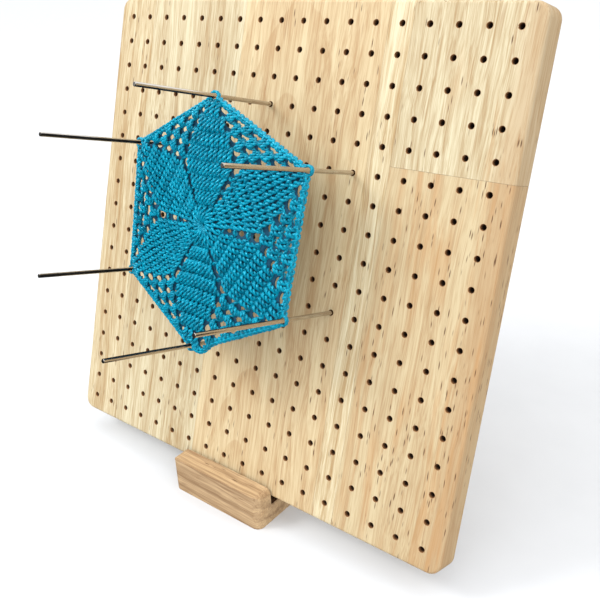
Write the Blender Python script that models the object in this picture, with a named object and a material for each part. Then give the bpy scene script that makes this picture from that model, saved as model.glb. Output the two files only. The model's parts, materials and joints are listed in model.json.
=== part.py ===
"""Crochet blocking board on its slotted stand, with six rods and a stretched crochet hexagon.

World frame: metres, +Z up, origin in the middle of the stand's underside, -Y towards the user.
Board frame: origin in the middle of the board's front face, +X right, +Y into the wood and
+Z up along the face.  The board frame leans back by LEAN about the world's X axis.
"""
import math

import bmesh
import bpy
from mathutils import Matrix, Vector

# ---- driving dimensions ----------------------------------------------------------------
GAP = 0.0003                    # clearance left between pieces that touch

PITCH = 0.0127                  # half-inch grid of peg holes
HOLES_PER_SIDE = 18
HOLE_RADIUS = 0.0013
HOLE_DEPTH = 0.012
HOLE_SIDES = 8

BOARD_SIDE = 0.235
BOARD_THICKNESS = 0.014
BOARD_CORNER_RADIUS = 0.006
BOARD_EDGE_EASE = 0.0015
BOARD_OFFSET_X = 0.0024         # the board stands slightly off the middle of its slot
LEAN = math.radians(18)

# Glue lines between the staves, counted in hole columns (and rows for the butt joint).
STAVE_JOINT_COLUMNS = (1.3, 6.25, 12.5, 13.4)
BUTT_JOINT_ROW = 4.6

STAND_WIDTH = 0.0585
STAND_DEPTH = 0.070
STAND_HEIGHT = 0.0195
STAND_LIP = 0.0105              # wood in front of the slot
STAND_SLOT_DEPTH = 0.0095
STAND_CORNER_RADIUS = 0.004     # upright corners, seen from above
STAND_END_RADIUS = 0.003        # round-over along the top of both ends

ROD_RADIUS = 0.001
ROD_LENGTH = 0.098
ROD_SIDES = 12
# name: hole column, hole row, depth pushed into the hole, height of the crochet on the rod
RODS = {
    "rod_top": (8, 3, 0.0113, 0.0392),
    "rod_upper_right": (12, 5, 0.0117, 0.0331),
    "rod_lower_right": (12, 10, 0.0075, 0.0356),
    "rod_bottom": (8, 12, 0.0090, 0.0354),
    "rod_lower_left": (4, 10, 0.0108, 0.0296),
    "rod_upper_left": (4, 5, 0.0055, 0.0329),
}

CROCHET_THICKNESS = 0.0024
CROCHET_LOOP_RADIUS = 0.0028    # outside of the loop that goes round each rod
CROCHET_EYE_RADIUS = 0.0014     # the opening of that loop
CROCHET_CENTRE_HEIGHT = 0.0343

ARC_STEPS = 4                   # segments in each quarter of a rounded corner
CUT_OVERRUN = 0.002             # how far a cutter passes the face that it opens

# ---- values that follow ----------------------------------------------------------------
HALF_BOARD = BOARD_SIDE / 2
GRID_MIDDLE = (HOLES_PER_SIDE - 1) / 2
SLOT_FLOOR_Z = STAND_HEIGHT - STAND_SLOT_DEPTH
SLOT_FRONT_Y = -STAND_DEPTH / 2 + STAND_LIP

# The board's lower back edge stands on the slot's floor, its lower front edge bears on the
# front wall and its back face bears on the top edge of the back wall.
BOARD_LOW_FRONT_Y = SLOT_FRONT_Y + GAP
BOARD_LOW_BACK_Z = SLOT_FLOOR_Z + GAP
BOARD_LOW_FRONT_Z = BOARD_LOW_BACK_Z + BOARD_THICKNESS * math.sin(LEAN)
SLOT_BACK_Y = (BOARD_LOW_FRONT_Y + BOARD_THICKNESS * math.cos(LEAN)
               + (STAND_HEIGHT - BOARD_LOW_BACK_Z) * math.tan(LEAN) + GAP)
BOARD_CENTRE = Vector((BOARD_OFFSET_X,
                       BOARD_LOW_FRONT_Y + HALF_BOARD * math.sin(LEAN),
                       BOARD_LOW_FRONT_Z + HALF_BOARD * math.cos(LEAN)))


# ---- helpers ---------------------------------------------------------------------------
def clear_scene():
    """Remove every object that the file holds."""
    for obj in list(bpy.data.objects):
        bpy.data.objects.remove(obj, do_unlink=True)


def make_material(name, color, roughness, metallic=0.0):
    """One Principled material of plain colour."""
    material = bpy.data.materials.new(name)
    material.use_nodes = True
    shader = material.node_tree.nodes["Principled BSDF"]
    shader.inputs["Base Color"].default_value = (*color, 1.0)
    shader.inputs["Roughness"].default_value = roughness
    shader.inputs["Metallic"].default_value = metallic
    material.diffuse_color = (*color, 1.0)
    return material


def add_object(name, bm, parent=None, material=None):
    """Turn a bmesh into a named object, with all faces pointing outwards."""
    bmesh.ops.recalc_face_normals(bm, faces=bm.faces)
    mesh = bpy.data.meshes.new(name)
    bm.to_mesh(mesh)
    bm.free()
    obj = bpy.data.objects.new(name, mesh)
    bpy.context.scene.collection.objects.link(obj)
    obj.parent = parent
    if material is not None:
        mesh.materials.append(material)
    return obj


def rounded_rectangle(width, height, radius):
    """Points of a rectangle with round corners, anticlockwise about its middle."""
    points = []
    corners = ((1, 1, 0), (-1, 1, 90), (-1, -1, 180), (1, -1, 270))
    for side_x, side_y, start in corners:
        for step in range(ARC_STEPS + 1):
            angle = math.radians(start + 90 * step / ARC_STEPS)
            points.append((side_x * (width / 2 - radius) + radius * math.cos(angle),
                           side_y * (height / 2 - radius) + radius * math.sin(angle)))
    return points


def loft(bm, rings):
    """Join rings of equal length into one closed body with flat ends."""
    loops = [[bm.verts.new(point) for point in ring] for ring in rings]
    count = len(loops[0])
    for low, high in zip(loops, loops[1:]):
        for index in range(count):
            following = (index + 1) % count
            bm.faces.new((low[index], low[following], high[following], high[index]))
    bm.faces.new(reversed(loops[0]))
    bm.faces.new(loops[-1])


def add_box(bm, low, high):
    """An axis-aligned box between two corners."""
    size = [b - a for a, b in zip(low, high)]
    middle = [(a + b) / 2 for a, b in zip(low, high)]
    matrix = Matrix.Translation(middle) @ Matrix.Diagonal((*size, 1.0))
    bmesh.ops.create_cube(bm, size=1.0, matrix=matrix)


def add_prism(bm, x, z, y_low, y_high, radius, sides):
    """An upright-sided prism along Y, used as a drill."""
    rings = []
    for y in (y_low, y_high):
        ring = []
        for step in range(sides):
            angle = math.tau * (step + 0.5) / sides
            ring.append((x + radius * math.cos(angle), y, z + radius * math.sin(angle)))
        rings.append(ring)
    loft(bm, rings)


def boolean(target, cutter, operation):
    """Cut target with cutter, which the build leaves out."""
    cutter.hide_render = True
    cutter.display_type = "WIRE"
    modifier = target.modifiers.new(cutter.name, "BOOLEAN")
    modifier.operation = operation
    modifier.solver = "EXACT"
    modifier.object = cutter


def grid_position(column, row):
    """Place of a hole on the board's face, for columns and rows counted from 0 at top left."""
    return (column - GRID_MIDDLE) * PITCH, (GRID_MIDDLE - row) * PITCH


# ---- sub-parts -------------------------------------------------------------------------
def build_stand(wood):
    """Block with rounded ends and a plain square slot from end to end."""
    plan = rounded_rectangle(STAND_WIDTH, STAND_DEPTH, STAND_CORNER_RADIUS)
    bm = bmesh.new()
    loft(bm, [[(x, y, z) for x, y in plan] for z in (0.0, STAND_HEIGHT)])
    stand = add_object("stand", bm, material=wood)

    # Side profile: square below the floor line, round-over along the top of both ends.
    profile = rounded_rectangle(STAND_WIDTH, STAND_HEIGHT * 2, STAND_END_RADIUS)
    reach = STAND_DEPTH / 2 + CUT_OVERRUN
    bm = bmesh.new()
    loft(bm, [[(x, y, z) for x, z in profile] for y in (-reach, reach)])
    boolean(stand, add_object("stand_profile_cutter", bm), "INTERSECT")

    reach = STAND_WIDTH / 2 + CUT_OVERRUN
    bm = bmesh.new()
    add_box(bm, (-reach, SLOT_FRONT_Y, SLOT_FLOOR_Z),
            (reach, SLOT_BACK_Y, STAND_HEIGHT + CUT_OVERRUN))
    boolean(stand, add_object("stand_slot_cutter", bm), "DIFFERENCE")


def board_blank():
    """The whole board before it is split: round corners and eased edges."""
    def ring(inset, y):
        side = BOARD_SIDE - 2 * inset
        outline = rounded_rectangle(side, side, BOARD_CORNER_RADIUS - inset)
        return [(x, y, z) for x, z in outline]

    bm = bmesh.new()
    loft(bm, [ring(BOARD_EDGE_EASE, 0.0),
              ring(0.0, BOARD_EDGE_EASE),
              ring(0.0, BOARD_THICKNESS - BOARD_EDGE_EASE),
              ring(BOARD_EDGE_EASE, BOARD_THICKNESS)])
    return bm


def build_stave(name, x_low, x_high, z_low, z_high, board_frame, wood):
    """One glued stave: its share of the blank, with the peg holes that fall in it."""
    stave = add_object(name, board_blank(), board_frame, wood)
    bm = bmesh.new()
    add_box(bm, (x_low, -CUT_OVERRUN, z_low), (x_high, BOARD_THICKNESS + CUT_OVERRUN, z_high))
    boolean(stave, add_object(name + "_share_cutter", bm, board_frame), "INTERSECT")

    bm = bmesh.new()
    for column in range(HOLES_PER_SIDE):
        for row in range(HOLES_PER_SIDE):
            x, z = grid_position(column, row)
            if x_low < x < x_high and z_low < z < z_high:
                add_prism(bm, x, z, -CUT_OVERRUN, HOLE_DEPTH, HOLE_RADIUS, HOLE_SIDES)
    boolean(stave, add_object(name + "_hole_cutter", bm, board_frame), "DIFFERENCE")


def build_board(board_frame, pale_wood, warm_wood):
    """Five staves side by side, the last one made of two lengths butted together."""
    outside = HALF_BOARD + CUT_OVERRUN
    joints = [grid_position(column, 0)[0] for column in STAVE_JOINT_COLUMNS]
    lows = [-outside] + [x + GAP / 2 for x in joints]
    highs = [x - GAP / 2 for x in joints] + [outside]
    woods = (pale_wood, pale_wood, warm_wood, pale_wood)
    for number, (x_low, x_high, wood) in enumerate(zip(lows, highs, woods), start=1):
        build_stave(f"board_stave_{number}", x_low, x_high, -outside, outside, board_frame, wood)

    butt_z = grid_position(0, BUTT_JOINT_ROW)[1]
    build_stave("board_stave_5_upper", lows[-1], highs[-1], butt_z + GAP / 2, outside,
                board_frame, pale_wood)
    build_stave("board_stave_5_lower", lows[-1], highs[-1], -outside, butt_z - GAP / 2,
                board_frame, warm_wood)


def build_rod(name, column, row, depth, board_frame, steel):
    """A plain round rod in its hole, with its origin on its axis at the board's face."""
    x, z = grid_position(column, row)
    rings = []
    for height in (-depth, ROD_LENGTH - depth):
        ring = []
        for step in range(ROD_SIDES):
            angle = math.tau * (step + 0.5) / ROD_SIDES
            ring.append((ROD_RADIUS * math.cos(angle), ROD_RADIUS * math.sin(angle), height))
        rings.append(ring)
    bm = bmesh.new()
    loft(bm, rings)
    rod = add_object(name, bm, board_frame, steel)
    rod.data.shade_smooth()
    rod.data.set_sharp_from_angle(angle=math.radians(40))
    rod.location = (x, 0.0, z)
    rod.rotation_euler = (math.pi / 2, 0.0, 0.0)


def build_crochet(board_frame, yarn):
    """Plain plate for the crochet: six corners held at their own heights on the rods."""
    corners = []
    for column, row, _, height in RODS.values():
        x, z = grid_position(column, row)
        corners.append(Vector((x, -height, z)))
    middle = sum(corners, Vector()) / len(corners)
    middle.y = -CROCHET_CENTRE_HEIGHT

    outline = []
    for corner in corners:
        outward = math.atan2(corner.z - middle.z, corner.x - middle.x)
        for turn in (30, 0, -30):
            angle = outward + math.radians(turn)
            direction = Vector((math.cos(angle), 0.0, math.sin(angle)))
            outline.append(corner + CROCHET_LOOP_RADIUS * direction)

    bm = bmesh.new()
    sheets = []
    for offset in (-CROCHET_THICKNESS / 2, CROCHET_THICKNESS / 2):
        shift = Vector((0.0, offset, 0.0))
        sheets.append(([bm.verts.new(point + shift) for point in outline],
                       bm.verts.new(middle + shift)))
    (front, front_middle), (back, back_middle) = sheets
    count = len(outline)
    for index in range(count):
        following = (index + 1) % count
        bm.faces.new((front[index], front[following], front_middle))
        bm.faces.new((back[following], back[index], back_middle))
        bm.faces.new((front[following], front[index], back[index], back[following]))
    bmesh.ops.triangulate(bm, faces=bm.faces)
    crochet = add_object("crochet_hexagon", bm, board_frame, yarn)

    bm = bmesh.new()
    for corner in corners:
        add_prism(bm, corner.x, corner.z, corner.y - 2 * CROCHET_THICKNESS,
                  corner.y + 2 * CROCHET_THICKNESS, CROCHET_EYE_RADIUS, HOLE_SIDES)
    boolean(crochet, add_object("crochet_eye_cutter", bm, board_frame), "DIFFERENCE")


def main():
    clear_scene()
    pale_wood = make_material("pale_wood", (0.78, 0.60, 0.37), 0.55)
    warm_wood = make_material("warm_wood", (0.66, 0.45, 0.25), 0.55)
    stand_wood = make_material("stand_wood", (0.62, 0.42, 0.24), 0.55)
    steel = make_material("steel", (0.72, 0.72, 0.74), 0.18, metallic=1.0)
    yarn = make_material("yarn", (0.01, 0.27, 0.50), 0.6)

    board_frame = bpy.data.objects.new("board_frame", None)
    bpy.context.scene.collection.objects.link(board_frame)
    board_frame.location = BOARD_CENTRE
    board_frame.rotation_euler = (-LEAN, 0.0, 0.0)

    build_stand(stand_wood)
    build_board(board_frame, pale_wood, warm_wood)
    for name, (column, row, depth, _) in RODS.items():
        build_rod(name, column, row, depth, board_frame, steel)
    build_crochet(board_frame, yarn)


main()
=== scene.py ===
"""Looks of the crochet blocking board: wood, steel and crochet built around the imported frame.

Pieces on the board are modelled in the board frame, whose origin is the middle of the board's
front face: +X right, +Y into the wood, +Z up along the face.  BOARD takes it to the row frame.
"""
import json
import math
import random

import bmesh
import bpy
import numpy as np
from mathutils import Matrix, Vector
from mathutils.geometry import delaunay_2d_cdt


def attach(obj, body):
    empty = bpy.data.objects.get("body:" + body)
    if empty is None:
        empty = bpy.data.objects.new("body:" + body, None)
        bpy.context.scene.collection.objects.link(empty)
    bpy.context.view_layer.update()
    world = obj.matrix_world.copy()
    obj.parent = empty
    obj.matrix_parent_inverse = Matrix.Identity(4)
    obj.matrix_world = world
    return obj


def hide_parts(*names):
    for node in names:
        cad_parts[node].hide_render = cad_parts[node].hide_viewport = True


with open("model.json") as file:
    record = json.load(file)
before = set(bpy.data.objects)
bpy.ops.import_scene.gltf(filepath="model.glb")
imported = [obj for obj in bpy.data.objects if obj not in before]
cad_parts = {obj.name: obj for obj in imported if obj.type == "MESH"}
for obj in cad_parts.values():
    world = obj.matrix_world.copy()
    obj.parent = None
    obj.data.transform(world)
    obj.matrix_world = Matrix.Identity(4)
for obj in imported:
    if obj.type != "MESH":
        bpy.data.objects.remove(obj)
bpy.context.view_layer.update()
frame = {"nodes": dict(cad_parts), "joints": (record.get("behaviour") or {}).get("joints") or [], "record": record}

MM = 0.001
BODIES = frame["record"]["behaviour"]["bodies"]

# ---- board, stand and rods --------------------------------------
HOLE_PITCH = 12.7 * MM
HOLE_COUNT = 18
HOLE_RADIUS = 1.3 * MM
HOLE_DEPTH = 12 * MM
HOLE_CHAMFER = 0.15 * MM
HOLE_SIDES = 24
CAD_GAP = 0.3 * MM              # between two staves in CAD
GLUE_LINE = 0.08 * MM           # the fine line left between them here
EDGE_RADIUS = 1.5 * MM
CORNER_RADIUS = 6 * MM
STAND_CORNER_RADIUS = 4 * MM
STAND_END_RADIUS = 3 * MM
STAND_EASE = 0.4 * MM
SLOT_SKIN = 0.1 * MM            # how near the slot a face of the stand gets the slot's painted shade
LARGE_FACE = 12 * MM * MM       # a face of the stand above this area is shaded flat
ROD_CHAMFER = 0.18 * MM
ROD_SIDES = 40
ROD_SEGMENTS = 24
OVERRUN = 2 * MM                # how far a cutter passes the outside of the board
CREASE = math.radians(30)       # an edge that turns more than this stays sharp
CAD_LOOP_REACH = 3.2 * MM       # just more than the outer radius of the crochet's loops in CAD

# ---- crochet, in millimetres on a regular hexagon whose corners are the rods ----
PETALS = 6
HEXAGON_RADIUS = 58.0
YARN_RADIUS = 0.70
YARN_STEP = 0.50                # spacing of the rings along a strand
YARN_PITCH = 4.4                # length in which a ply goes once round the yarn
PLY_PROFILE = (1.0, 0.91, 0.70, 0.91) * 3   # the yarn's radius round it, for three plies
ROUNDS_START = 3.3              # the first round's top is one ROUND_HEIGHT beyond this
ROUND_HEIGHT = 6.5
CENTRE_FOOT = 1.7               # where the first round's stitches start from the middle
OPEN_ROWS = {2: 1.6, 3: 1.1}    # gap between the rounds in the slack lower petals
SHINGLE = 1.5                   # how far a round's foot stands over the end of the last one
UNEVEN = 0.12                   # how far a stitch strays
CORNER_EYE_RADIUS = 1.9
CHAIN_LENGTH = 3.0
CHAIN_HEIGHT = 2.0
SMALLEST_SPACE = 0.6            # a space between groups that needs a chain across it
FOUNDATION_RADIUS = 1.1
BORDER_FOOT = 49.5
BORDER_LINE = 50.6              # from the middle to the top of the border's stitches
BORDER_HALF = 27.4
BORDER_STITCHES = 20
BORDER_UNEVEN = 0.1
ROD_CLEARANCE = 1.78            # how near a strand's middle comes to a rod's axis

# The lower right side hangs outside the line of its rods, most of all near the bottom rod.
SLACK = 1.5
SLACK_LOBE = 2.4
SLACK_LOBE_PLACE = 22.5
SLACK_LOBE_WIDTH = 5.5
SLACK_INNER = (40.0, 50.0)      # where it begins and is full, out from the middle
SLACK_ENDS = ((-29.5, -24.0), (-29.0, -25.5))   # the same from each end of the side

# The ground is a thin dark sheet behind the stitches, painted shade where the inner strands lie in shade.
GROUND_HEIGHT = -0.30
GROUND_THICKNESS = 0.5
GROUND_RIM = 57.3
GROUND_INSIDE = 48.6            # how far out the sheet has points of its own
GROUND_SPACING = 2.2
RIM_STEPS = 24                  # points on each side of the rim
EYELET_SIDES = 12
EYELET_CLEAR = 1.25             # the sheet's own points keep off an eyelet grown this much
EYELET_CUT = 0.985              # a triangle whose middle is in an eyelet of this size is left out

# ---- light ------------------------------------------------------
# A sky is dim and bright where the cosine of the angle to its brightest side has the first
# two values, and the other two are its strengths there.
SKY_SIDE = (0.42, -0.28, 0.86)  # the brightest side of the light; of the polish it is straight up
SKY_LIGHT = (0.1, 1.0, 0.57, 2.38)
SKY_POLISH = (0.15, 0.40, 0.04, 1.6)
KEY_OFFSET = (-0.75, -0.75, 0.95)   # from the middle of the board's face
KEY_SIDE = 0.5
KEY_POWER = 11.0
FLOOR_HALF = 6.0

# ---- camera, in the board frame ---------------------------------
CAMERA_PLACE = (0.24469, -0.31283, 0.06226)
CAMERA_RIGHT = (0.7332, 0.6690, 0.1214)
CAMERA_DOWN = (0.2302, -0.0762, -0.9702)
CAMERA_LENS = 49.70
CAMERA_SENSOR = 36
CAMERA_SHIFT = (0.1417, -0.0117)


# ---- frame ------------------------------------------------------
def joint_axis(name):
    """Direction of a stored joint."""
    return Vector(next(j for j in frame["joints"] if j["name"] == name)["axis"]).normalized()


def node_points(*nodes):
    """All vertices of some CAD nodes."""
    return np.array([v.co for n in nodes for v in frame["nodes"][n].data.vertices])


def find_board():
    """Matrix from the board frame to the row frame, half of the board's side, its thickness."""
    up, out = joint_axis("board_lift"), joint_axis("rod_top_pull")
    into = -out
    right = into.cross(up)
    points = node_points(*BODIES["board"])
    x, y, z = (points @ np.array(axis) for axis in (right, into, up))
    origin = (right * float(x.min() + x.max()) / 2 + into * float(y.min())
              + up * float(z.min() + z.max()) / 2)
    matrix = Matrix((right, into, up)).transposed().to_4x4()
    matrix.translation = origin
    return matrix, float(x.max() - x.min()) / 2, float(y.max() - y.min())


BOARD, HALF_BOARD, BOARD_THICKNESS = find_board()
TO_BOARD = BOARD.inverted()


def on_board(*nodes):
    """Vertices of some CAD nodes in the board frame."""
    points = node_points(*nodes)
    points = np.c_[points, np.ones(len(points))]
    return (points @ np.array(TO_BOARD).T)[:, :3]


# ---- meshes -----------------------------------------------------
def add_mesh(name, points, faces, matrix=None, smooth=True):
    """A new object from points and faces."""
    mesh = bpy.data.meshes.new(name)
    mesh.from_pydata(points, [], faces)
    mesh.update()
    return add_object(name, mesh, matrix, smooth)


def add_object(name, data, matrix=None, smooth=False):
    """A new object in the scene for a mesh, a light or a camera."""
    obj = bpy.data.objects.new(name, data)
    bpy.context.scene.collection.objects.link(obj)
    if matrix is not None:
        obj.matrix_world = matrix
    if smooth:
        data.shade_smooth()
    return obj


def from_bmesh(name, bm, matrix=None):
    """A new flat-shaded object from a bmesh, which is used up."""
    bmesh.ops.recalc_face_normals(bm, faces=bm.faces)
    mesh = bpy.data.meshes.new(name)
    bm.to_mesh(mesh)
    bm.free()
    return add_object(name, mesh, matrix)


def finish_piece(obj, body, nodes, slot, *materials):
    """Give a piece its materials and its place in the frame."""
    for material in materials:
        obj.data.materials.append(material)
    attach(obj, body)
    if nodes:
        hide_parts(*nodes)
    return obj


def loft(bm, rings):
    """Join rings of equal length into one closed body with flat ends."""
    loops = [[bm.verts.new(point) for point in ring] for ring in rings]
    count = len(loops[0])
    for low, high in zip(loops, loops[1:]):
        for index in range(count):
            following = (index + 1) % count
            bm.faces.new((low[index], low[following], high[following], high[index]))
    bm.faces.new(reversed(loops[0]))
    bm.faces.new(loops[-1])


def loft_turned(bm, x, z, profile, sides):
    """Join circles, given as (y, radius), about the line along Y through x and z."""
    rings = []
    for y, radius in profile:
        angles = [math.tau * index / sides for index in range(sides)]
        rings.append([(x + radius * math.cos(a), y, z + radius * math.sin(a)) for a in angles])
    loft(bm, rings)


def rounded_rectangle(width, height, radius, steps):
    """Points of a rectangle with round corners, anticlockwise about its middle."""
    points = []
    for side_x, side_y, start in ((1, 1, 0), (-1, 1, 90), (-1, -1, 180), (1, -1, 270)):
        for step in range(steps + 1):
            angle = math.radians(start + 90 * step / steps)
            points.append((side_x * (width / 2 - radius) + radius * math.cos(angle),
                           side_y * (height / 2 - radius) + radius * math.sin(angle)))
    return points


def add_box(bm, low, high):
    """A box between two corners."""
    size = [b - a for a, b in zip(low, high)]
    middle = [(a + b) / 2 for a, b in zip(low, high)]
    matrix = Matrix.Translation(middle) @ Matrix.Diagonal((*size, 1.0))
    bmesh.ops.create_cube(bm, size=1.0, matrix=matrix)


def boolean(target, cutter, operation):
    """Cut target with cutter for good, then throw the cutter away."""
    modify(target, "BOOLEAN", operation=operation, solver="EXACT", object=cutter)
    bpy.data.objects.remove(cutter)


def modify(obj, kind, **settings):
    """Change an object's mesh for good with one modifier."""
    modifier = obj.modifiers.new(kind.lower(), kind)
    for name, value in settings.items():
        setattr(modifier, name, value)
    evaluated = obj.evaluated_get(bpy.context.evaluated_depsgraph_get())
    mesh = bpy.data.meshes.new_from_object(evaluated)
    obj.modifiers.clear()
    obj.data = mesh


def crisp(obj):
    """Smooth the rounded edges and keep the flats flat."""
    obj.data.shade_smooth()
    obj.data.set_sharp_from_angle(angle=CREASE)
    modify(obj, "WEIGHTED_NORMAL", keep_sharp=True)


# ---- shader building --------------------------------------------
class Shader:
    """Short calls for building one material's nodes."""

    def __init__(self, name):
        self.material = bpy.data.materials.new(name)
        self.material.use_nodes = True
        self.tree = self.material.node_tree
        self.surface = self.tree.nodes["Principled BSDF"]
        self.coords = self.tree.nodes.new("ShaderNodeTexCoord").outputs["Object"]

    def add(self, kind, inputs, **settings):
        node = self.tree.nodes.new("ShaderNode" + kind)
        for name, value in settings.items():
            setattr(node, name, value)
        for name, value in inputs.items():
            self.put(node.inputs[name], value)
        return node

    def put(self, socket, value):
        if isinstance(value, bpy.types.NodeSocket):
            self.tree.links.new(value, socket)
        else:
            socket.default_value = value

    def math(self, operation, *values, clamp=False):
        node = self.add("Math", dict(enumerate(values)), operation=operation)
        node.use_clamp = clamp
        return node.outputs[0]

    def scaled(self, vector, x, y, z, move=(0, 0, 0)):
        """The vector moved and then stretched, so that a texture's grain follows."""
        node = self.add("Mapping", {"Vector": vector, "Scale": (x, y, z), "Location": move})
        return node.outputs[0]

    def noise(self, vector, scale, detail=2.0, roughness=0.5, colour=False):
        node = self.add("TexNoise", {"Vector": vector, "Scale": scale, "Detail": detail,
                                     "Roughness": roughness})
        return node.outputs["Color" if colour else "Fac"]

    def grained(self, vector, across, along, detail=2.0, roughness=0.5):
        """Noise with so many features per metre across the grain and along it (Z)."""
        return self.noise(self.scaled(vector, across, across, along), 1.0, detail, roughness)

    def ramp(self, value, low, high):
        """0 below low, 1 above high, smooth between."""
        node = self.add("MapRange", {"Value": value, "From Min": low, "From Max": high},
                        interpolation_type="SMOOTHSTEP")
        return node.outputs[0]

    def mix(self, factor, first, second, blend="MIX"):
        node = self.add("Mix", {}, data_type="RGBA", blend_type=blend)
        self.put(node.inputs["Factor"], factor)
        self.put(node.inputs[6], first)
        self.put(node.inputs[7], second)
        return node.outputs[2]

    def bump(self, height, distance, strength=1.0):
        node = self.add("Bump", {"Height": height, "Distance": distance, "Strength": strength})
        return node.outputs[0]

    def set(self, **inputs):
        for name, value in inputs.items():
            self.put(self.surface.inputs[name.replace("_", " ")], value)
        return self.material


def srgb(red, green, blue):
    """Linear colour from 8-bit values."""
    def linear(value):
        value /= 255
        return value / 12.92 if value <= 0.04045 else ((value + 0.055) / 1.055) ** 2.4
    return (linear(red), linear(green), linear(blue), 1.0)


# ---- materials --------------------------------------------------
RINGS_PER_METRE = 150.0


def wood(name, light, dark, shift, pith, figure, pores, along="z", heart=None):
    """Rubberwood: pale and tan bands along the grain, faint growth rings and dark pores.

    shift moves the pattern, so that no two staves match; pith is the pith's place across and
    behind the face with its slope across and into the wood per metre of length; figure and
    pores say how strong the rings and how many the pores are; heart is where browner wood
    starts and where it is full, across the grain.
    """
    s = Shader(name)
    place, moved, bent = grain_places(s, shift, along)
    x, y, z = s.add("SeparateXYZ", {0: bent}).outputs
    late = late_wood(s, x, y, z, pith)
    broad = s.grained(moved, 75, 4, 3.0)
    band = s.grained(moved, 260, 9, 3.0, 0.6)
    streak = s.grained(moved, 900, 20, 3.0, 0.65)
    fine = s.grained(moved, 2600, 70)

    tone = s.math("MULTIPLY", late, figure)
    for value, low, high, weight in ((broad, 0.38, 0.66, 0.35), (band, 0.36, 0.68, 0.36),
                                     (streak, 0.38, 0.66, 0.42), (fine, 0.38, 0.66, 0.40)):
        tone = s.math("MULTIPLY_ADD", s.ramp(value, low, high), weight, tone)
    tone = s.math("SUBTRACT", tone, 0.26, clamp=True)
    colour = s.mix(tone, light, dark)
    if heart is not None:
        colour = s.mix(s.math("MULTIPLY", s.ramp(x, *heart), 0.5), colour, srgb(166, 132, 94))

    patch = s.grained(place, 60, 16)
    column = s.ramp(s.grained(moved, 420, 4), 0.50, 0.62)
    crowd = s.ramp(patch, 0.70 - 0.36 * pores, 0.94 - 0.36 * pores)
    rust = s.math("MULTIPLY", crowd, s.ramp(band, 0.45, 0.62))
    colour = s.mix(s.math("MULTIPLY", rust, 0.4), colour, srgb(184, 140, 92))
    pore = open_pores(s, moved, crowd, column)
    vein = s.ramp(s.grained(moved, 1300, 26), 0.62, 0.76)
    colour = s.mix(s.math("MULTIPLY", vein, 0.55), colour, srgb(144, 102, 62))
    colour = s.mix(s.math("MULTIPLY", pore, 0.92), colour, srgb(82, 50, 24))

    height = s.math("SUBTRACT", s.math("MULTIPLY", fine, 0.35), pore)
    return s.set(Base_Color=colour, Normal=s.bump(height, 0.06 * MM, 0.6),
                 Roughness=s.math("MULTIPLY_ADD", streak, 0.2, 0.46),
                 Specular_IOR_Level=0.3)


def grain_places(s, shift, along):
    """Coordinates with the grain along Z: shifted; shifted and warped; and only warped."""
    source = s.coords
    if along == "x":
        source = s.add("Mapping", {"Vector": source, "Rotation": (0, math.pi / 2, 0)}).outputs[0]
    place = s.add("VectorMath", {0: source, 1: shift}, operation="ADD").outputs[0]
    warp = s.noise(s.scaled(place, 22, 22, 7), 1.0, 3.0, colour=True)
    warp = s.add("VectorMath", {0: warp, 1: (0.5, 0.5, 0.5)}, operation="SUBTRACT").outputs[0]
    warp = s.add("VectorMath", {0: warp, "Scale": 12 * MM}, operation="SCALE").outputs[0]
    bent = s.add("VectorMath", {0: source, 1: warp}, operation="ADD").outputs[0]
    moved = s.add("VectorMath", {0: place, 1: warp}, operation="ADD").outputs[0]
    return place, moved, bent


def late_wood(s, x, y, z, pith):
    """The dark part of each growth ring, which deepens outwards and ends at once."""
    across, behind, slope_x, slope_y = pith
    from_x = s.math("SUBTRACT", x, s.math("MULTIPLY_ADD", z, slope_x, across))
    from_y = s.math("SUBTRACT", y, s.math("MULTIPLY_ADD", z, slope_y, behind))
    radius = s.math("SQRT", s.math("ADD", s.math("MULTIPLY", from_x, from_x),
                                   s.math("MULTIPLY", from_y, from_y)))
    rings = s.math("FRACT", s.math("MULTIPLY", radius, RINGS_PER_METRE))
    return s.math("MULTIPLY", s.ramp(rings, 0.45, 0.95), s.ramp(rings, 1.0, 0.97))


def open_pores(s, place, crowd, column):
    """Short and long dark slits along the grain, more of them in crowds and in columns."""
    pore = 0.0
    for across, along, share, edge in ((1050, 130, 0.96, (0.12, 0.34)),
                                       (640, 60, 1.12, (0.08, 0.20))):
        cells = s.add("TexVoronoi", {"Vector": s.scaled(place, across, across, along),
                                     "Scale": 1.0, "Randomness": 1.0})
        lot = s.add("SeparateColor", {0: cells.outputs["Color"]}).outputs[0]
        lot = s.math("MULTIPLY_ADD", crowd, 0.30, lot)
        lot = s.math("MULTIPLY_ADD", column, 0.22, lot)
        kept = s.ramp(lot, share, share + 0.06)
        line = s.math("SUBTRACT", 1.0, s.ramp(cells.outputs["Distance"], *edge))
        pore = s.math("MAXIMUM", pore, s.math("MULTIPLY", kept, line))
    return pore


def hole_wall():
    """Drilled wood, darker and rough with fine rings left by the drill; its colour darkens further over the first
    3 mm into the hole as painted shade.
    """
    s = Shader("drilled_wood_painted_shade")
    depth = s.add("SeparateXYZ", {0: s.coords}).outputs[1]
    rings = s.math("SINE", s.math("MULTIPLY", depth, 9000.0))
    grain = s.noise(s.coords, 1500.0, 2.0)
    # painted shade: the wall goes from mid brown at the mouth to near black 3 mm into the hole
    dark = s.ramp(depth, 0.0, 3 * MM)
    colour = s.mix(dark, srgb(150, 105, 62), srgb(62, 38, 20))
    colour = s.mix(s.math("MULTIPLY", grain, 0.35), colour, srgb(70, 42, 22))
    height = s.math("MULTIPLY_ADD", rings, 0.3, grain)
    return s.set(Base_Color=colour, Roughness=0.85, Normal=s.bump(height, 0.05 * MM, 0.5))


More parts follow.
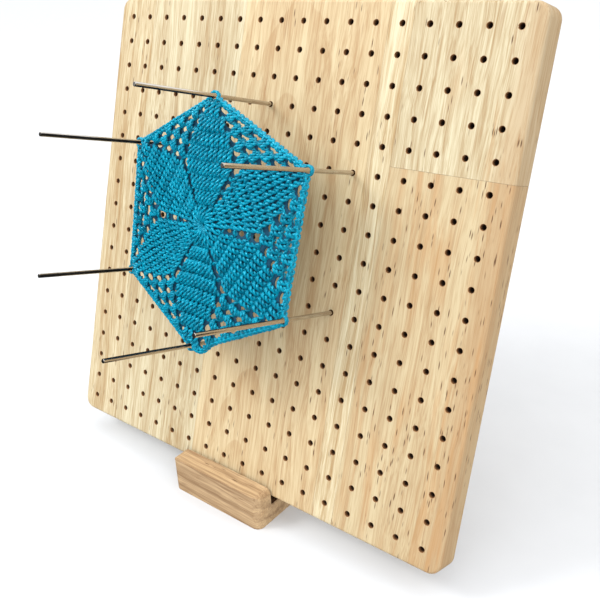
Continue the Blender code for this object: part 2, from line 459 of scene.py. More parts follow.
def steel():
    """Polished steel rod with faint drawing lines along it."""
    s = Shader("rod_steel")
    lines = s.noise(s.scaled(s.coords, 9000, 60, 9000), 1.0, 2.0)
    cloud = s.noise(s.coords, 120.0, 3.0)
    colour = s.mix(cloud, srgb(176, 170, 162), srgb(208, 204, 198))
    return s.set(Base_Color=colour, Metallic=1.0, Normal=s.bump(lines, 0.01 * MM, 0.35),
                 Roughness=s.math("MULTIPLY_ADD", cloud, 0.12, 0.10))


def yarn():
    """Turquoise mercerised cotton: silky highlights, fine fibres, light cyan flecks painted on as highlights and a
    little uneven dye.
    """
    s = Shader("turquoise_cotton")
    dye = s.noise(s.coords, 260.0, 3.0)
    fibre_and_painted_light = s.noise(s.scaled(s.coords, 6000, 6000, 6000), 1.0, 3.0, 0.7)
    colour = s.mix(s.ramp(dye, 0.3, 0.7), srgb(0, 117, 145), srgb(4, 150, 180))
    # painted highlight: light cyan flecks where the fibre noise is high
    colour = s.mix(s.math("MULTIPLY", s.ramp(fibre_and_painted_light, 0.5, 0.85), 0.3), colour, srgb(36, 182, 210))
    return s.set(Base_Color=colour, Normal=s.bump(fibre_and_painted_light, 0.08 * MM, 0.5),
                 Roughness=s.math("MULTIPLY_ADD", fibre_and_painted_light, 0.2, 0.12),
                 Specular_IOR_Level=1.0, Specular_Tint=srgb(120, 228, 248))


def painted_shade_cloth():
    """Inner strands of the crochet, seen only between its posts, as painted shade: a much darker copy of the
    yarn's colour.
    """
    s = Shader("turquoise_painted_shade")
    fibre_and_painted_light = s.noise(s.coords, 2500.0, 3.0, 0.7)
    colour = s.mix(fibre_and_painted_light, srgb(0, 52, 76), srgb(2, 84, 114))
    return s.set(Base_Color=colour, Roughness=0.9, Normal=s.bump(fibre_and_painted_light, 0.1 * MM, 0.6))


# ---- board ------------------------------------------------------
def hole_place(index):
    """The x or z of a column or row of holes."""
    return (index - (HOLE_COUNT - 1) / 2) * HOLE_PITCH


def from_hole_line(value):
    """Distance of an x or z from the nearest line of holes."""
    return abs(value - round(value / HOLE_PITCH - 0.5) * HOLE_PITCH - HOLE_PITCH / 2)


def is_drilled(face):
    """Whether a face of a stave is part of a blind hole."""
    x, y, z = face.center
    near_axis = math.hypot(from_hole_line(x), from_hole_line(z)) < HOLE_RADIUS + 0.1 * MM
    below_mouth = 0.5 * HOLE_CHAMFER < y < BOARD_THICKNESS - MM
    inside_rim = max(abs(x), abs(z)) < HALF_BOARD - 2 * MM
    return near_axis and below_mouth and inside_rim and len(face.vertices) < 2 * HOLE_SIDES


def board_blank():
    """The whole board before it is split: round corners and rounded edges."""
    def ring(inset, y):
        side = 2 * (HALF_BOARD - inset)
        outline = rounded_rectangle(side, side, CORNER_RADIUS - inset, 12)
        return [(x, y, z) for x, z in outline]

    steps = 6
    edge = []
    for step in range(steps + 1):
        angle = math.pi / 2 * step / steps
        edge.append((EDGE_RADIUS * (1 - math.sin(angle)), EDGE_RADIUS * (1 - math.cos(angle))))
    rings = [ring(inset, y) for inset, y in edge]
    rings += [ring(inset, BOARD_THICKNESS - y) for inset, y in reversed(edge)]
    bm = bmesh.new()
    loft(bm, rings)
    return bm


def add_drill(bm, x, z):
    """Blind-hole cutter with a slightly opened mouth."""
    profile = ((-MM, HOLE_RADIUS + HOLE_CHAMFER + MM), (HOLE_CHAMFER, HOLE_RADIUS),
               (HOLE_DEPTH, HOLE_RADIUS))
    loft_turned(bm, x, z, profile, HOLE_SIDES)


def build_stave(node, materials):
    """One stave in place of its CAD node, with the finer edges, holes and glue lines."""
    points = on_board(node)
    low, high = points.min(0), points.max(0)
    spread = (CAD_GAP - GLUE_LINE) / 2
    limits = []
    for axis in (0, 2):
        for value, sign in ((low[axis], -1), (high[axis], 1)):
            outer = abs(abs(value) - HALF_BOARD) < 0.5 * MM
            limits.append(value + sign * (OVERRUN if outer else spread))
    x_low, x_high, z_low, z_high = limits

    obj = from_bmesh("wood_" + node, board_blank())
    bm = bmesh.new()
    add_box(bm, (x_low, -OVERRUN, z_low), (x_high, BOARD_THICKNESS + OVERRUN, z_high))
    boolean(obj, from_bmesh("share", bm), "INTERSECT")

    bm = bmesh.new()
    for column in range(HOLE_COUNT):
        for row in range(HOLE_COUNT):
            x, z = hole_place(column), hole_place(row)
            if x_low < x < x_high and z_low < z < z_high:
                add_drill(bm, x, z)
    boolean(obj, from_bmesh("drill", bm), "DIFFERENCE")
    crisp(obj)
    for face in obj.data.polygons:
        face.material_index = int(is_drilled(face))
    obj.matrix_world = BOARD
    return finish_piece(obj, "board", [node], STAVE_SLOTS[node], *materials)


# Light and dark of two kinds of board wood, as 8-bit colours.
PALE = ((238, 226, 190), (190, 159, 113))
WARM = ((231, 211, 169), (198, 163, 118))
HEARTWOOD = (HALF_BOARD - 13 * MM, HALF_BOARD - 4 * MM)     # where it starts and is full
STAVE_SLOTS = {n: "pale_wood" for n in BODIES["board"]}
STAVE_SLOTS.update(board_stave_3="warm_wood", board_stave_5_lower="warm_wood")


def shaded(colours, brightness):
    """Two 8-bit colours as linear ones, both made darker or brighter by the same factor."""
    return [tuple(value * brightness for value in srgb(*c)[:3]) + (1.0,) for c in colours]


def build_board():
    """The six staves, each with its own wood."""
    drilled = hole_wall()
    # stave: colours, brightness, pattern shift, pith (across, behind, slopes), figure, pores
    looks = {
        "board_stave_1": (PALE, 0.72, (0.3, 0.1, 0.7), (-0.16, 0.09, 0.04, 0.02), 0.20, 0.25),
        "board_stave_2": (PALE, 0.67, (1.3, 0.4, 0.2), (-0.20, 0.12, 0.03, 0.05), 0.15, 0.30),
        "board_stave_3": (WARM, 0.74, (2.1, 0.9, 1.1), (0.003, 0.035, 0.01, 0.16), 0.30, 0.35),
        "board_stave_4": (PALE, 0.77, (3.7, 0.2, 1.9), (0.20, 0.10, 0.05, 0.03), 0.15, 0.35),
        "board_stave_5_upper": (PALE, 0.68, (4.4, 1.2, 0.4), (0.22, 0.07, -0.12, 0.04), 0.20, 0.55),
        "board_stave_5_lower": (WARM, 0.665, (5.2, 0.6, 1.5), (0.25, 0.12, 0.02, 0.03), 0.15, 0.95),
    }
    for node, (colours, brightness, shift, pith, figure, pores) in looks.items():
        heart = HEARTWOOD if node.startswith("board_stave_5") else None
        material = wood("wood_" + node, *shaded(colours, brightness), shift, pith, figure, pores,
                        heart=heart)
        build_stave(node, (material, drilled))


# ---- stand ------------------------------------------------------
def find_slot(points):
    """Height of the slot's floor, and its front and back, from the CAD stand's vertices."""
    low, high = points.min(0), points.max(0)
    near_ends = abs(points[:, 0]) > (high[0] - low[0]) * 0.3
    off_base = points[:, 2] > low[2] + MM
    off_top = points[:, 2] < high[2] - STAND_END_RADIUS - 2 * MM
    inner = points[near_ends & off_base & off_top]
    floor = float(inner[:, 2].min())
    on_floor = inner[abs(inner[:, 2] - floor) < 0.05 * MM]
    return floor, float(on_floor[:, 1].min()), float(on_floor[:, 1].max())


def build_stand():
    """Slotted block: round upright corners, rounded end tops and eased edges; the slot's faces get much darker
    wood as painted shade.
    """
    points = node_points("stand")
    low, high = points.min(0), points.max(0)
    width, depth, height = high - low
    middle_y = (low[1] + high[1]) / 2
    slot_z, slot_front, slot_back = find_slot(points)

    plan = rounded_rectangle(width, depth, STAND_CORNER_RADIUS, 8)
    bm = bmesh.new()
    loft(bm, [[(x, middle_y + y, z) for x, y in plan] for z in (low[2], high[2])])
    obj = from_bmesh("wood_stand", bm)
    profile = rounded_rectangle(width, 2 * height, STAND_END_RADIUS, 8)
    bm = bmesh.new()
    loft(bm, [[(x, y, z) for x, z in profile] for y in (low[1] - MM, high[1] + MM)])
    boolean(obj, from_bmesh("profile", bm), "INTERSECT")
    bm = bmesh.new()
    add_box(bm, (low[0] - MM, slot_front, slot_z), (high[0] + MM, slot_back, high[2] + MM))
    boolean(obj, from_bmesh("slot", bm), "DIFFERENCE")
    modify(obj, "BEVEL", width=STAND_EASE, segments=3, limit_method="ANGLE",
           angle_limit=math.radians(40))
    obj.data.shade_smooth()
    grain = ((0.2, 2.2, 0.9), (0.03, -0.02, 0.04, 0.03), 0.35, 0.4, "x")
    planed = wood("wood_stand", srgb(199, 170, 131), srgb(145, 115, 83), *grain)
    # painted shade: the slot's floor and walls get a much darker copy of the stand's wood
    slot_painted_shade = wood("slot_wood_painted_shade", srgb(110, 78, 52), srgb(62, 40, 25), *grain)
    for face in obj.data.polygons:
        face.use_smooth = face.area < LARGE_FACE
        _, y, z = face.center
        in_slot = (abs(face.normal.x) < 0.5 and slot_z - SLOT_SKIN < z < high[2] - STAND_EASE
                   and slot_front - SLOT_SKIN < y < slot_back + SLOT_SKIN)
        face.material_index = int(in_slot)
    return finish_piece(obj, "stand", ["stand"], "stand_wood", planed, slot_painted_shade)


# ---- rods -------------------------------------------------------
ROD_NODES = ("rod_top", "rod_upper_right", "rod_lower_right", "rod_bottom",
             "rod_lower_left", "rod_upper_left")


def rod_line(node):
    """Axis (x, z) of a rod, its inner and outer end along the board's Y, and its radius."""
    points = on_board(node)
    x, z = (points[:, i].min() / 2 + points[:, i].max() / 2 for i in (0, 2))
    radius = np.hypot(points[:, 0] - x, points[:, 2] - z).max()
    return x, z, points[:, 1].max(), points[:, 1].min(), radius


def build_rod(node, material):
    """Straight polished rod with chamfered ends, turned about its axis."""
    x, z, inner, outer, radius = rod_line(node)
    end_flat = radius * 0.55
    profile = [(inner, end_flat), (inner, radius - ROD_CHAMFER), (inner - ROD_CHAMFER, radius)]
    span = outer - inner + 2 * ROD_CHAMFER
    for step in range(1, ROD_SEGMENTS):
        profile.append((inner - ROD_CHAMFER + span * step / ROD_SEGMENTS, radius))
    profile += [(outer + ROD_CHAMFER, radius), (outer, radius - ROD_CHAMFER), (outer, end_flat)]
    bm = bmesh.new()
    loft_turned(bm, x, z, profile, ROD_SIDES)
    obj = from_bmesh("steel_" + node, bm, BOARD)
    obj.data.shade_smooth()
    obj.data.set_sharp_from_angle(angle=CREASE)
    return finish_piece(obj, node, [node], "steel", material)


# ---- crochet: layout --------------------------------------------
def crochet_corners():
    """Rod places and crochet heights, clockwise from the top, and the middle, in mm."""
    plate = on_board("crochet_hexagon")
    corners = []
    for node in ROD_NODES:
        x, z, *_ = rod_line(node)
        near = np.hypot(plate[:, 0] - x, plate[:, 2] - z) < CAD_LOOP_REACH
        corners.append((x, plate[near, 1].mean(), z))
    corners = np.array(corners) / MM
    middle = corners.mean(0)
    near = np.argsort(np.hypot(plate[:, 0] * 1000 - middle[0], plate[:, 2] * 1000 - middle[2]))
    middle[1] = plate[near[:2], 1].mean() / MM
    return corners, middle


CORNERS, MIDDLE = crochet_corners()


def direction(angle):
    """Unit vector at an angle in degrees, and the one 90 degrees clockwise of it."""
    a = math.radians(angle)
    return np.array((math.cos(a), math.sin(a))), np.array((math.sin(a), -math.cos(a)))


def petal_point(petal, v, u):
    """Point of the regular hexagon, v along a petal's axis and u clockwise of it."""
    axis, side = direction(90 - 60 * petal)
    return axis * v + side * u


def wedge_point(petal, t, s):
    """Point of the wedge that follows a petal, t along its middle line and s clockwise."""
    axis, side = direction(60 - 60 * petal)
    return axis * t + side * s


def ease(value, low, high):
    """0 at low, 1 at high and smooth between, for arrays."""
    share = np.clip((value - low) / (high - low), 0, 1)
    return share * share * (3 - 2 * share)


def slacken(points):
    """Let the lower right side hang out: t is out from the middle and s along the side."""
    axis, side = direction(60 - 60 * 2)
    t, s = points[:, :2] @ axis, points[:, :2] @ side
    push = SLACK + SLACK_LOBE * np.exp(-((s - SLACK_LOBE_PLACE) / SLACK_LOBE_WIDTH) ** 2)
    push *= ease(t, *SLACK_INNER) * ease(s, *SLACK_ENDS[0]) * ease(-s, *SLACK_ENDS[1])
    points[:, :2] += push[:, None] * axis
    return points


def to_board(points):
    """Points of the regular hexagon (x, y, height) moved to the board frame, still in mm."""
    points = slacken(np.array(points, float))
    angle = (90 - np.degrees(np.arctan2(points[:, 1], points[:, 0]))) % 360
    sector = np.minimum((angle // 60).astype(int), 5)
    result = np.empty((len(points), 3))
    for k in range(PETALS):
        mask = sector == k
        first, _ = direction(90 - 60 * k)
        second, _ = direction(30 - 60 * k)
        basis = np.array((first, second)).T * HEXAGON_RADIUS
        share = points[mask, :2] @ np.linalg.inv(basis).T
        a, b = CORNERS[k] - MIDDLE, CORNERS[(k + 1) % PETALS] - MIDDLE
        result[mask] = MIDDLE + share[:, :1] * a + share[:, 1:] * b
    result[:, 1] -= points[:, 2]
    return result


def clear_rods(points):
    """Push board points in mm away from the rods that run through the crochet."""
    for corner in CORNERS:
        offset = points[:, (0, 2)] - corner[[0, 2]]
        distance = np.maximum(np.linalg.norm(offset, axis=1), 1e-3)
        short = distance < ROD_CLEARANCE
        points[short, 0] = corner[0] + offset[short, 0] * ROD_CLEARANCE / distance[short]
        points[short, 2] = corner[2] + offset[short, 1] * ROD_CLEARANCE / distance[short]
    return points


# Each round: stitches in a petal, half width of the petal's top and of its foot.
PETAL_ROUNDS = ((3, 5.5, 1.25), (6, 8.1, 5.0), (8, 11.6, 8.1), (11, 14.9, 11.6),
                (10, 13.0, 13.1), (8, 10.9, 11.4), (6, 7.4, 7.8), (3, 4.5, 4.5))
# Each round: distance of the wedge's top line, and its pairs of stitches as
# (middle of the top, middle of the foot).
WEDGE_ROUNDS = {
    5: (38.3, ((0.0, 0.0),)),
    6: (42.4, ((-4.75, -4.25), (4.75, 4.25))),
    7: (46.0, ((-10.2, -9.5), (0.0, 0.0), (10.2, 9.5))),
    8: (49.5, ((-15.6, -15.3), (-5.2, -5.1), (5.2, 5.1), (15.6, 15.3))),
}
PAIR_TOP_HALF = 2.75
PAIR_FOOT_HALF = 1.3
PAIR_FOOT_SPREAD = 1.3          # how much the feet of a pair overlap
PAIR_SINK = 0.3                 # how far its feet reach into the last round


def round_top(number):
    """How far from the middle the top of a round in a petal is."""
    return ROUNDS_START + ROUND_HEIGHT * number


# One stitch: (across, up, extra up, out), across in stitch widths, up in stitch heights,
# and the last two in yarn diameters.  It ends where the next stitch starts.
TREBLE_TOP = (
    (-0.50, 1.00, 0.00, -0.15), (-0.18, 1.00, -0.10, 0.00), (0.28, 1.00, 0.05, -0.02),
    (0.52, 1.00, 0.22, -0.25), (0.25, 1.00, 0.45, -0.50), (-0.20, 1.00, 0.25, -0.60),
)
TREBLE_FOOT = ((-0.10, -0.06, 0.00, -0.55), (0.15, -0.08, 0.00, -0.60))
TREBLE_END = ((0.30, 0.97, 0.00, -0.40),)
POST_TURNS = 1.35               # how often the two strands of a post go round each other
POST_HALF_WIDTH = 0.25
POST_HALF_DEPTH = 0.48


def post_strand(side):
    """One of the two strands that wind round each other in a post, from the foot up."""
    points = []
    for height in np.linspace(0.06, 0.92, 9):
        angle = math.pi * (0.25 + side) - math.tau * POST_TURNS * height
        points.append((POST_HALF_WIDTH * math.cos(angle), height, 0.0,
                       0.12 + POST_HALF_DEPTH * math.sin(angle)))
    return tuple(points)


TREBLE = TREBLE_TOP + post_strand(0)[::-1] + TREBLE_FOOT + post_strand(1) + TREBLE_END
CHAIN = (
    (-0.50, 1.00, 0.00, 0.15), (-0.15, 1.00, -0.35, 0.45), (0.30, 1.00, -0.15, 0.40),
    (0.52, 1.00, 0.15, 0.00), (0.25, 1.00, 0.40, -0.35), (-0.20, 1.00, 0.35, -0.45),
    (-0.38, 1.00, 0.05, -0.25), (0.00, 1.00, -0.10, -0.35), (0.35, 0.97, 0.00, -0.15),
)
SINGLE = (
    (-0.50, 1.00, 0.00, 0.25), (-0.15, 1.00, -0.30, 0.60), (0.30, 1.00, -0.10, 0.55),
    (0.52, 1.00, 0.10, 0.10), (0.25, 1.00, 0.25, -0.35), (-0.10, 1.00, 0.10, -0.45),
    (-0.30, 0.60, 0.00, 0.10), (-0.22, 0.10, 0.00, 0.55), (-0.04, -0.45, 0.00, 0.25),
    (0.12, -0.30, 0.00, -0.55), (0.26, 0.45, 0.00, -0.30), (0.35, 0.97, 0.00, -0.10),
)


def stitch(template, foot, top, foot_edge, top_edge, lift=0.0):
    """Control points of one stitch; an edge is its width along the row as a vector."""
    rise = top - foot
    length = max(np.linalg.norm(rise), 1e-6)
    up = rise / length if length > 0.3 else np.array((-top_edge[1], top_edge[0]))
    result = []
    for across, height, extra, out in template:
        share = min(max(height, 0.0), 1.0)
        edge = foot_edge + (top_edge - foot_edge) * share
        place = foot + rise * height + edge * across + up * (extra * 2 * YARN_RADIUS)
        bulge = lift * (1 - share ** 2 + 0.25 * math.sin(math.pi * share))
        result.append((place[0], place[1], out * 2 * YARN_RADIUS + bulge))
    return result


def spaced(count, half):
    """Middles of count equal places from -half to half, and their width."""
    width = 2 * half / count
    return [(-half + width * (i + 0.5)) for i in range(count)], width


def round_groups(number):
    """The stitches of one round as (foot, top, foot edge, top edge), clockwise."""
    count, top_half, foot_half = PETAL_ROUNDS[number - 1]
    tops, top_width = spaced(count, top_half)
    feet, foot_width = spaced(count, foot_half)
    groups = []
    for petal in range(PETALS):
        group = []
        _, side = direction(90 - 60 * petal)
        foot_v = CENTRE_FOOT if number == 1 else round_top(number - 1) + OPEN_ROWS.get(petal, 0.0)
        for top_u, foot_u in zip(tops, feet):
            group.append((petal_point(petal, foot_v, foot_u),
                          petal_point(petal, round_top(number), top_u),
                          side * foot_width, side * top_width))
        groups.append(group)
        if number in WEDGE_ROUNDS:
            groups += wedge_groups(number, petal)
    return groups


def wedge_groups(number, petal):
    """The groups of stitches between one petal and the next."""
    top_t, layout = WEDGE_ROUNDS[number]
    if number - 1 in WEDGE_ROUNDS:
        foot_t = WEDGE_ROUNDS[number - 1][0]
    else:
        foot_t = round_top(number - 1) / math.cos(math.pi / PETALS)
    _, side = direction(60 - 60 * petal)
    tops, top_width = spaced(2, PAIR_TOP_HALF)
    feet, foot_width = spaced(2, PAIR_FOOT_HALF)
    groups = []
    for middle, foot_middle in layout:
        group = []
        for top_s, foot_s in zip(tops, feet):
            group.append((wedge_point(petal, foot_t - PAIR_SINK, foot_middle + foot_s),
                          wedge_point(petal, top_t, middle + top_s),
                          side * foot_width * PAIR_FOOT_SPREAD, side * top_width))
        groups.append(group)
    return groups


def jitter(rng, amount):
    """A small step in any direction."""
    return np.array((rng.uniform(-amount, amount), rng.uniform(-amount, amount)))


def round_path(number, rng):
    """Control points of the whole round, closed: posts, and a chain across every space."""
    groups = round_groups(number)
    path = []
    for index, group in enumerate(groups):
        for foot, top, foot_edge, top_edge in group:
            lift = SHINGLE + rng.uniform(-UNEVEN, UNEVEN)
            foot = foot + jitter(rng, UNEVEN)
            top = top + jitter(rng, UNEVEN)
            path += stitch(TREBLE, foot, top, foot_edge, top_edge, lift)
        last, first = group[-1], groups[(index + 1) % len(groups)][0]
        start = last[1] + last[3] / 2
        end = first[1] - first[3] / 2
        gap = np.linalg.norm(end - start)
        if gap > SMALLEST_SPACE:
            path += chain(start, end, max(1, round(gap / CHAIN_LENGTH)))
    return path


def chain(start, end, count):
    """Chain stitches that bridge a space."""
    path = []
    edge = (end - start) / count
    for index in range(count):
        middle = start + edge * (index + 0.5)
        outward = middle / np.linalg.norm(middle)
        path += stitch(CHAIN, middle - outward * CHAIN_HEIGHT, middle, edge, edge)
    return path


def border_path(rng):
    """Single crochet along the six sides, with a loop round the rod at each corner."""
    corner_start, corner_slope, sink, lift = 23.0, 0.25, 0.2, 0.2
    places, width = spaced(BORDER_STITCHES, BORDER_HALF)
    path = []
    for petal in range(PETALS):
        _, side = direction(60 - 60 * petal)
        for s in places:
            foot_t = BORDER_FOOT - corner_slope * max(0.0, abs(s) - corner_start)
            foot = wedge_point(petal, foot_t - sink, s) + jitter(rng, BORDER_UNEVEN)
            top = wedge_point(petal, BORDER_LINE, s) + jitter(rng, BORDER_UNEVEN)
            path += stitch(SINGLE, foot, top, side * width, side * width, lift)
        path += corner_loop((petal + 1) % PETALS)
    return path


def corner_loop(petal):
    """Yarn that goes nearly twice round a rod, from the front of the crochet to its back."""
    centre = petal_point(petal, HEXAGON_RADIUS, 0)
    axis, side = direction(90 - 60 * petal)
    result = []
    start, turns, steps, half_height = -150, 1.83, 22, 0.75
    for index in range(steps + 1):
        share = index / steps
        angle = math.radians(start + 360 * turns * share)
        place = centre + CORNER_EYE_RADIUS * (axis * math.cos(angle) + side * math.sin(angle))
        result.append((place[0], place[1], half_height * (1 - 2 * share)))
    return result


def ring_path():
    """The foundation ring, two turns lying on each other."""
    result = []
    steps, radius_swing, height, height_swing = 24, 0.25, 0.1, 0.75
    for index in range(2 * steps):
        angle = math.tau * index / steps
        radius = FOUNDATION_RADIUS + radius_swing * math.cos(angle / 2)
        result.append((radius * math.cos(angle), radius * math.sin(angle),
                       height_swing * math.sin(angle / 2) + height))
    return result


# ---- crochet: strands -------------------------------------------
def smooth_closed(points, step):
    """Points at equal spacing along a smooth closed curve through the given ones."""
    p = np.asarray(points, float)
    before, after, beyond = np.roll(p, 1, 0), np.roll(p, -1, 0), np.roll(p, -2, 0)
    dense = []
    for t in np.arange(0, 1, 0.125):
        dense.append(0.5 * (2 * p + (after - before) * t
                            + (2 * before - 5 * p + 4 * after - beyond) * t ** 2
                            + (3 * p - before - 3 * after + beyond) * t ** 3))
    dense = np.stack(dense, 1).reshape(-1, 3)
    loop = np.vstack((dense, dense[:1]))
    length = np.r_[0, np.cumsum(np.linalg.norm(np.diff(loop, axis=0), axis=1))]
    count = int(length[-1] / step)
    where = np.linspace(0, length[-1], count, endpoint=False)
    return np.stack([np.interp(where, length, loop[:, i]) for i in range(3)], 1), length[-1]


def carried_normals(path):
    """A normal at each point, carried along without twisting, and the angle left at the end."""
    tangents = np.roll(path, -1, 0) - np.roll(path, 1, 0)
    tangents /= np.linalg.norm(tangents, axis=1)[:, None]
    rows = [Vector(t) for t in tangents]
    normal = rows[0].orthogonal().normalized()
    normals = []
    for tangent in rows:
        normal = (normal - tangent * normal.dot(tangent)).normalized()
        normals.append(normal)
    last = (normals[-1] - rows[0] * normals[-1].dot(rows[0])).normalized()
    left = math.atan2(rows[0].dot(last.cross(normals[0])), last.dot(normals[0]))
    return tangents, np.array(normals), left


def strand(name, controls, material):
    """A closed length of plied yarn through the given control points, in board millimetres."""
    path, length = smooth_closed(to_board(controls), YARN_STEP)
    path = clear_rods(path)
    tangents, normals, left = carried_normals(path)
    binormals = np.cross(tangents, normals)
    count, sides = len(path), len(PLY_PROFILE)
    turns = round(3 * length / YARN_PITCH) / 3 * math.tau
    along = np.arange(count) / count
    twist = along * (turns + left)
    angle = twist[:, None] + math.tau * np.arange(sides) / sides
    radius = YARN_RADIUS * np.array(PLY_PROFILE)
    points = (path[:, None] + radius[None, :, None]
              * (np.cos(angle)[..., None] * normals[:, None]
                 + np.sin(angle)[..., None] * binormals[:, None]))
    shift = round((turns / math.tau % 1) * sides)
    ring = np.arange(sides)
    faces = []
    for index in range(count):
        here = index * sides + ring
        if index < count - 1:
            there = (index + 1) * sides + ring
        else:
            there = (ring + shift) % sides
        faces.append(np.stack((here, np.roll(here, -1), np.roll(there, -1), there), 1))
    faces = np.concatenate(faces)
    obj = add_mesh(name, (points.reshape(-1, 3) * MM).tolist(), faces.tolist(), BOARD)
    return finish_piece(obj, "crochet", [], "yarn", material)


def ground_holes():
    """Eyelets of the crochet as (middle, half axis along the row, half axis across the row)."""
    # distance from the middle, places along the row, half sizes along and across the row
    rows = [(14.2, (0,), 0.8, 1.3), (21.2, (0,), 1.2, 1.6), (29.9, (0,), 1.9, 2.3),
            (36.5, (-4.9, 4.9), 1.9, 1.8), (40.6, (-9.6, 0, 9.6), 2.2, 1.6),
            (44.2, (-15.3, -5.1, 5.1, 15.3), 2.3, 1.5),
            (47.7, (-20.9, -10.4, 0, 10.4, 20.9), 2.4, 1.3)]
    holes = []
    for petal in range(PETALS):
        axis, side = direction(60 - 60 * petal)
        for t, places, along, across in rows:
            for s in places:
                holes.append((axis * t + side * s, side * along, axis * across))
    return holes


def ground_mesh():
    """Triangles of the hexagon with its openings left out."""
    rim = [petal_point(k, GROUND_RIM, 0) for k in range(PETALS)]
    outline = []
    for first, second in zip(rim, rim[1:] + rim[:1]):
        for step in range(RIM_STEPS):
            outline.append(first + (second - first) * step / RIM_STEPS)
    loops = [outline]
    holes = ground_holes()
    for centre, along, across in holes:
        loops.append([centre + along * math.cos(a) + across * math.sin(a)
                      for a in np.linspace(0, math.tau, EYELET_SIDES, endpoint=False)])
    points, edges = [], []
    for loop in loops:
        start = len(points)
        points += loop
        edges += [(start + i, start + (i + 1) % len(loop)) for i in range(len(loop))]
    reach = 30      # rows and columns of an even triangular grid each way from the middle
    for row in range(-reach, reach + 1):
        for column in range(-reach, reach + 1):
            place = np.array((column + 0.5 * (row % 2), row * 0.866)) * GROUND_SPACING
            outwards = max(abs(place @ direction(60 - 60 * k)[0]) for k in range(3))
            if outwards < GROUND_INSIDE and not any(in_hole(place, h, EYELET_CLEAR) for h in holes):
                points.append(place)
    found = delaunay_2d_cdt([Vector(p) for p in points], edges, [], 0, 1e-5)
    flat = np.array(found[0])
    triangles = []
    for face in found[2]:
        middle = flat[list(face)].mean(0)
        if not any(in_hole(middle, h, EYELET_CUT) for h in holes):
            triangles.append(tuple(face))
    return flat, triangles


def in_hole(place, hole, grow):
    """Whether a place is inside an eyelet made larger by a factor."""
    centre, along, across = hole
    offset = place - centre
    u = offset @ along / (along @ along)
    v = offset @ across / (across @ across)
    return u * u + v * v < grow * grow


def build_ground():
    """The thin openwork sheet behind the posts, dark as painted shade for the inner strands."""
    flat, triangles = ground_mesh()
    sheet = np.c_[flat, np.full(len(flat), GROUND_HEIGHT)]
    points = clear_rods(to_board(sheet)) * MM
    obj = add_mesh("crochet_shade_sheet", points.tolist(), triangles, BOARD)
    modify(obj, "SOLIDIFY", thickness=GROUND_THICKNESS * MM, offset=0)
    return finish_piece(obj, "crochet", ["crochet_hexagon"], "yarn", painted_shade_cloth())


def build_crochet():
    """Eight rounds, a border and a foundation ring, each one closed strand."""
    rng = random.Random(7)
    cotton = yarn()
    paths = {}
    for number in range(1, len(PETAL_ROUNDS) + 1):
        paths[f"crochet_round_{number}"] = round_path(number, rng)
    paths["crochet_border"] = border_path(rng)
    paths["crochet_ring"] = ring_path()
    pieces = [strand(name, path, cotton) for name, path in paths.items()]
    for piece in pieces:
        piece.visible_glossy = False
    return pieces


# ---- studio -----------------------------------------------------
def build_studio():
    """Pale floor, white surroundings and one soft light from the upper left."""
    corners = [(x * FLOOR_HALF, y * FLOOR_HALF, 0) for x, y in ((-1, -1), (1, -1), (1, 1), (-1, 1))]
    floor = add_mesh("floor", corners, [(0, 1, 2, 3)], smooth=False)
    s = Shader("pale_floor")
    grain = s.noise(s.coords, 40.0, 3.0)
    floor.data.materials.append(s.set(
        Base_Color=s.mix(grain, srgb(202, 204, 207), srgb(208, 210, 213)), Roughness=0.9))

    floor.visible_glossy = False
    build_flag()
    build_world()

    light = bpy.data.lights.new("upper_left", "AREA")
    light.shape = "SQUARE"
    light.size = KEY_SIDE
    light.energy = KEY_POWER
    obj = add_object("upper_left", light)
    obj.location = BOARD.translation + Vector(KEY_OFFSET)
    obj.rotation_euler = (-Vector(KEY_OFFSET)).to_track_quat("-Z", "Y").to_euler()


def build_flag():
    """A black card beside the left rods that only their polish sees."""
    x, far, near, half_height = -48 * MM, -130 * MM, -5 * MM, 70 * MM
    corners = [(x, far, -half_height), (x, near, -half_height), (x, near, half_height),
               (x, far, half_height)]
    flag = add_mesh("flag", corners, [(0, 1, 2, 3)], BOARD, smooth=False)
    s = Shader("black_card")
    flag.data.materials.append(s.set(Base_Color=srgb(12, 12, 12), Roughness=1.0))
    flag.visible_camera = flag.visible_diffuse = flag.visible_shadow = False
    flag.visible_transmission = False


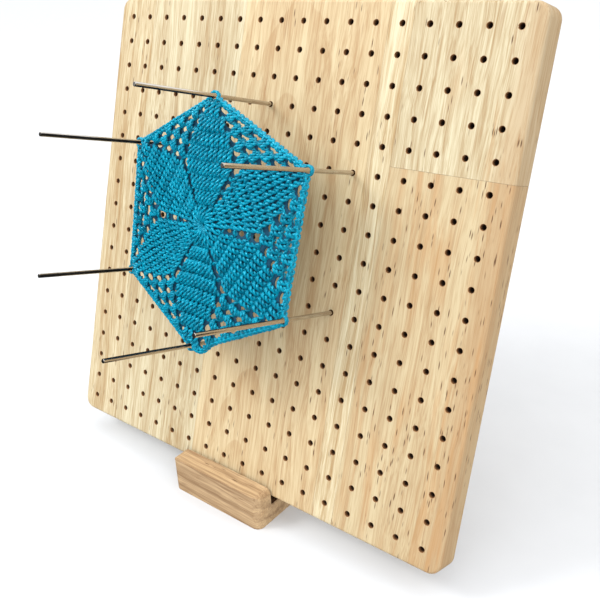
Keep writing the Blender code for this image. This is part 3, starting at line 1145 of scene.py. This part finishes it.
def build_world():
    """White to the eye; as light brightest towards SKY_SIDE; darker low down in polished metal."""
    world = bpy.data.worlds.new("studio")
    bpy.context.scene.world = world
    world.use_nodes = True
    tree = world.node_tree
    new, link = tree.nodes.new, tree.links.new
    rays = new("ShaderNodeLightPath")
    place = new("ShaderNodeTexCoord").outputs["Generated"]

    def graded(side, limits):
        toward = new("ShaderNodeVectorMath")
        toward.operation = "DOT_PRODUCT"
        toward.inputs[1].default_value = side
        link(place, toward.inputs[0])
        ramp = new("ShaderNodeMapRange")
        ramp.interpolation_type = "SMOOTHSTEP"
        link(toward.outputs["Value"], ramp.inputs["Value"])
        for socket, value in zip(("From Min", "From Max", "To Min", "To Max"), limits):
            ramp.inputs[socket].default_value = value
        return ramp.outputs[0]

    mirrored = new("ShaderNodeMix")
    link(rays.outputs["Is Glossy Ray"], mirrored.inputs[0])
    link(graded(SKY_SIDE, SKY_LIGHT), mirrored.inputs[2])
    link(graded((0, 0, 1), SKY_POLISH), mirrored.inputs[3])
    seen = new("ShaderNodeMix")
    seen.inputs[3].default_value = 1.0
    link(rays.outputs["Is Camera Ray"], seen.inputs[0])
    link(mirrored.outputs[0], seen.inputs[2])
    background = tree.nodes["Background"]
    background.inputs["Color"].default_value = (1, 1, 1, 1)
    link(seen.outputs[0], background.inputs["Strength"])


def build_camera():
    """Seen from the right of the board and slightly above, at arm's length."""
    data = bpy.data.cameras.new("camera")
    right, down = Vector(CAMERA_RIGHT), Vector(CAMERA_DOWN)
    forward = right.cross(down)
    local = Matrix((right, -down, -forward)).transposed().to_4x4()
    local.translation = CAMERA_PLACE
    data.sensor_width = CAMERA_SENSOR
    data.lens = CAMERA_LENS
    data.shift_x, data.shift_y = CAMERA_SHIFT
    data.clip_start = 0.01
    bpy.context.scene.camera = add_object("camera", data, BOARD @ local)


build_camera()
build_studio()
build_board()
build_stand()
polished = steel()
for rod_node in ROD_NODES:
    build_rod(rod_node, polished)
crochet_pieces = build_crochet()
ground = build_ground()
bpy.context.scene.view_settings.view_transform = "Standard"
